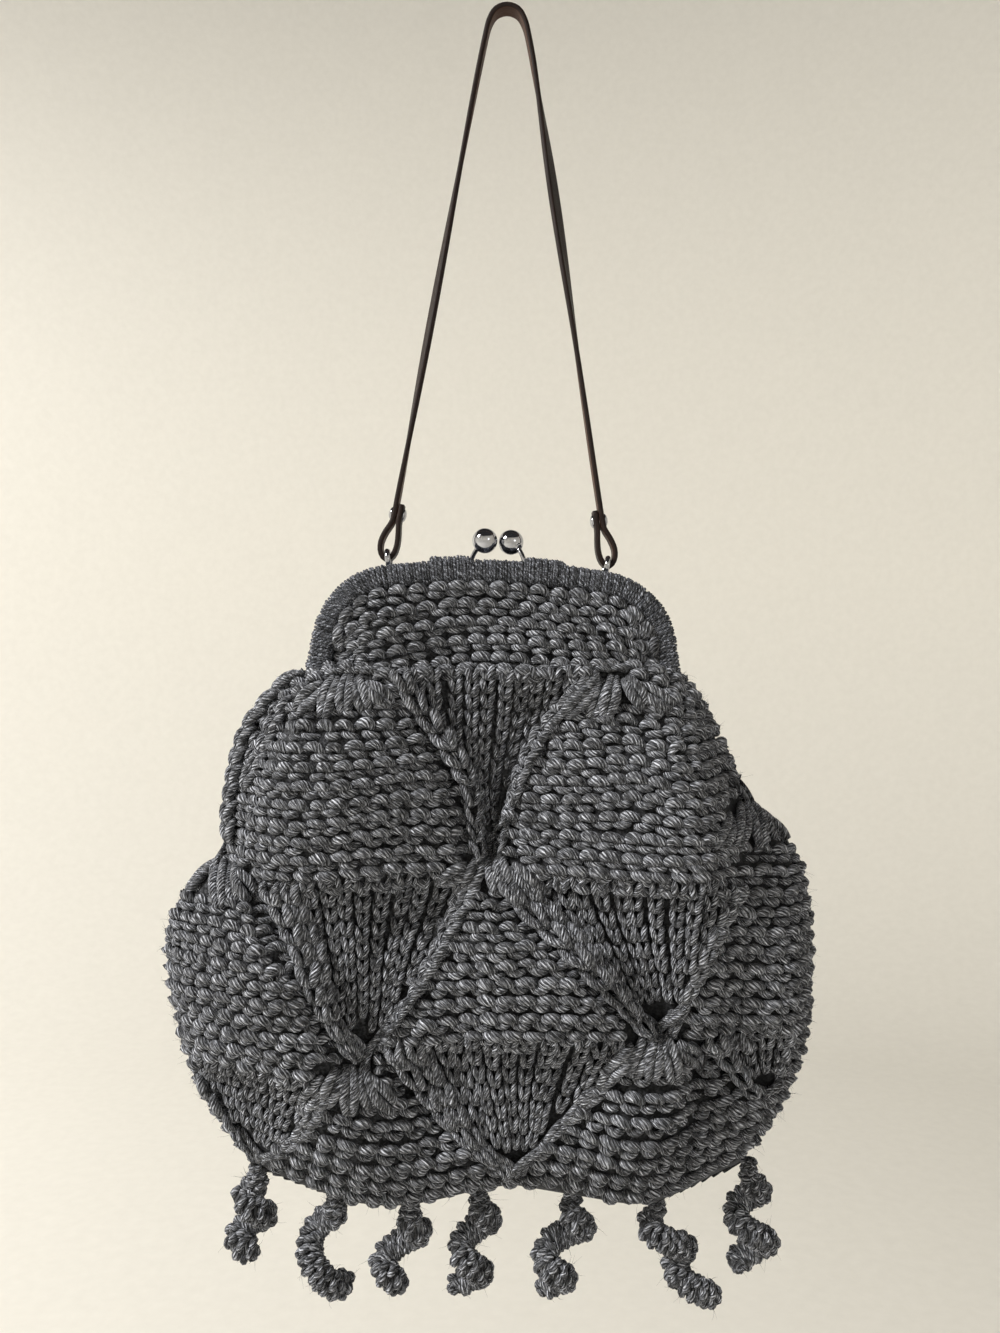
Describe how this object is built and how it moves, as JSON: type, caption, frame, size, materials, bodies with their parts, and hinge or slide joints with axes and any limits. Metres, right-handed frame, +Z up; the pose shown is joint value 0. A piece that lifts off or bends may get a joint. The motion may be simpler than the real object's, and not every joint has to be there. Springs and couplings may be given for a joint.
{
  "type": "kiss lock bag",
  "caption": "Hand-knitted wool pouch bag on a ball-clasp purse frame wound in yarn, with a narrow leather hanging strap and curly tassels along a scalloped bottom seam.",
  "frame": {"origin": "underside of the strap at its highest point, where a hook or peg carries the bag", "axes": "+Z up along the hanging bag, +Y from its front to its back, +X to the right seen from the front"},
  "size_m": [0.3065, 0.0694, 0.6179],
  "materials": {
    "frame_metal": "bright nickel-chrome plate",
    "rivet_metal": "domed nickel rivet, slightly worn",
    "winding_yarn": "fine dark heather-grey wool, wound close over the rails",
    "knit_wool": "chunky marled heather-grey wool, hand-knitted, hairy",
    "tassel_wool": "heather-grey wool worked into corkscrew curls",
    "strap_leather": "dark brown leather, smooth grain side, paler raw edges"
  },
  "bodies": {
    "root": {"frame_back": "frame_metal", "frame_front": "frame_metal", "hinge_pin_left": "frame_metal", "hinge_pin_right": "frame_metal", "frame_wrap_back": "winding_yarn", "frame_wrap_front": "winding_yarn", "bag_body": "knit_wool", "strap": "strap_leather", "strap_rivet_left": "rivet_metal", "strap_rivet_right": "rivet_metal", "curl_1": "tassel_wool", "curl_2": "tassel_wool", "curl_3": "tassel_wool", "curl_4": "tassel_wool", "curl_5": "tassel_wool", "curl_6": "tassel_wool", "curl_7": "tassel_wool"}
  },
  "joints": []
}
